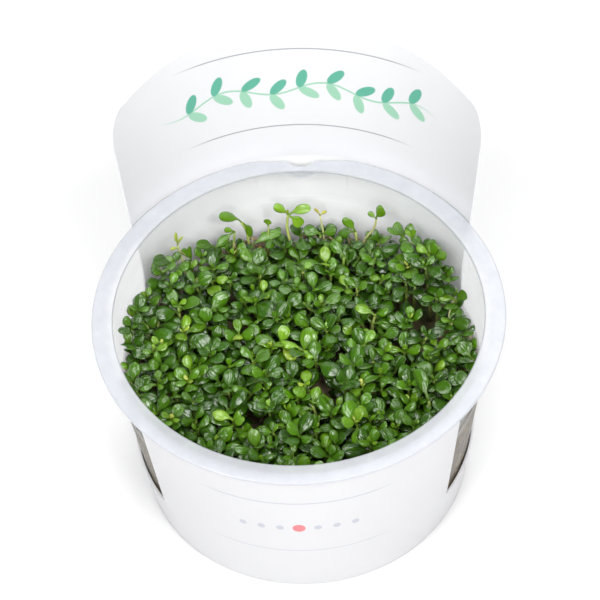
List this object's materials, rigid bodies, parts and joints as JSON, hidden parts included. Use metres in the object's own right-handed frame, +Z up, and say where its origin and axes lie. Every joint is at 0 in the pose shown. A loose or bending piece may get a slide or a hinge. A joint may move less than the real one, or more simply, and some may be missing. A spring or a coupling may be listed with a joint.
{
  "type": "aquarium plant in a growing cup",
  "caption": "Carpet of small spoon-shaped aquarium leaves growing in an open round plastic cup with a white card sleeve and a header panel behind the rim.",
  "frame": {"origin": "centre of the cup's flat bottom, on the table", "axes": "+Z up along the cup's axis; +Y towards the header panel of the card sleeve, -Y towards its front panel"},
  "size_m": [0.0992, 0.1074, 0.0972],
  "materials": {
    "clear_plastic": "clear, slightly frosted moulded plastic",
    "white_card": "smooth coated white card",
    "roots": "damp tangled brown roots",
    "leaves": "glossy fresh green leaves with pale green stems"
  },
  "bodies": {
    "root": {"card_sleeve": "white_card", "cup": "clear_plastic", "plantlet_01": "leaves", "plantlet_02": "leaves", "plantlet_03": "leaves", "plantlet_04": "leaves", "plantlet_05": "leaves", "plantlet_06": "leaves", "plantlet_07": "leaves", "plantlet_08": "leaves", "plantlet_09": "leaves", "plantlet_10": "leaves", "plantlet_11": "leaves", "plantlet_12": "leaves", "plantlet_13": "leaves", "plantlet_14": "leaves", "plantlet_15": "leaves", "plantlet_16": "leaves", "plantlet_17": "leaves", "plantlet_18": "leaves", "plantlet_19": "leaves", "plantlet_20": "leaves", "plantlet_21": "leaves", "plantlet_22": "leaves", "plantlet_23": "leaves", "plantlet_24": "leaves", "plantlet_25": "leaves", "plantlet_26": "leaves", "plantlet_27": "leaves", "plantlet_28": "leaves", "plantlet_29": "leaves", "plantlet_30": "leaves", "plantlet_31": "leaves", "plantlet_32": "leaves", "plantlet_33": "leaves", "plantlet_34": "leaves", "plantlet_35": "leaves", "plantlet_36": "leaves", "plantlet_37": "leaves", "plantlet_38": "leaves", "plantlet_39": "leaves", "plantlet_40": "leaves", "plantlet_41": "leaves", "plantlet_42": "leaves", "plantlet_43": "leaves", "root_mat": "roots", "sprig_back": "leaves", "sprig_back_left": "leaves", "sprig_back_right": "leaves", "sprig_far_left": "leaves", "sprig_far_right": "leaves", "sprig_left": "leaves", "sprig_left_tall": "leaves", "sprig_right": "leaves", "sprig_right_high": "leaves"}
  },
  "joints": []
}
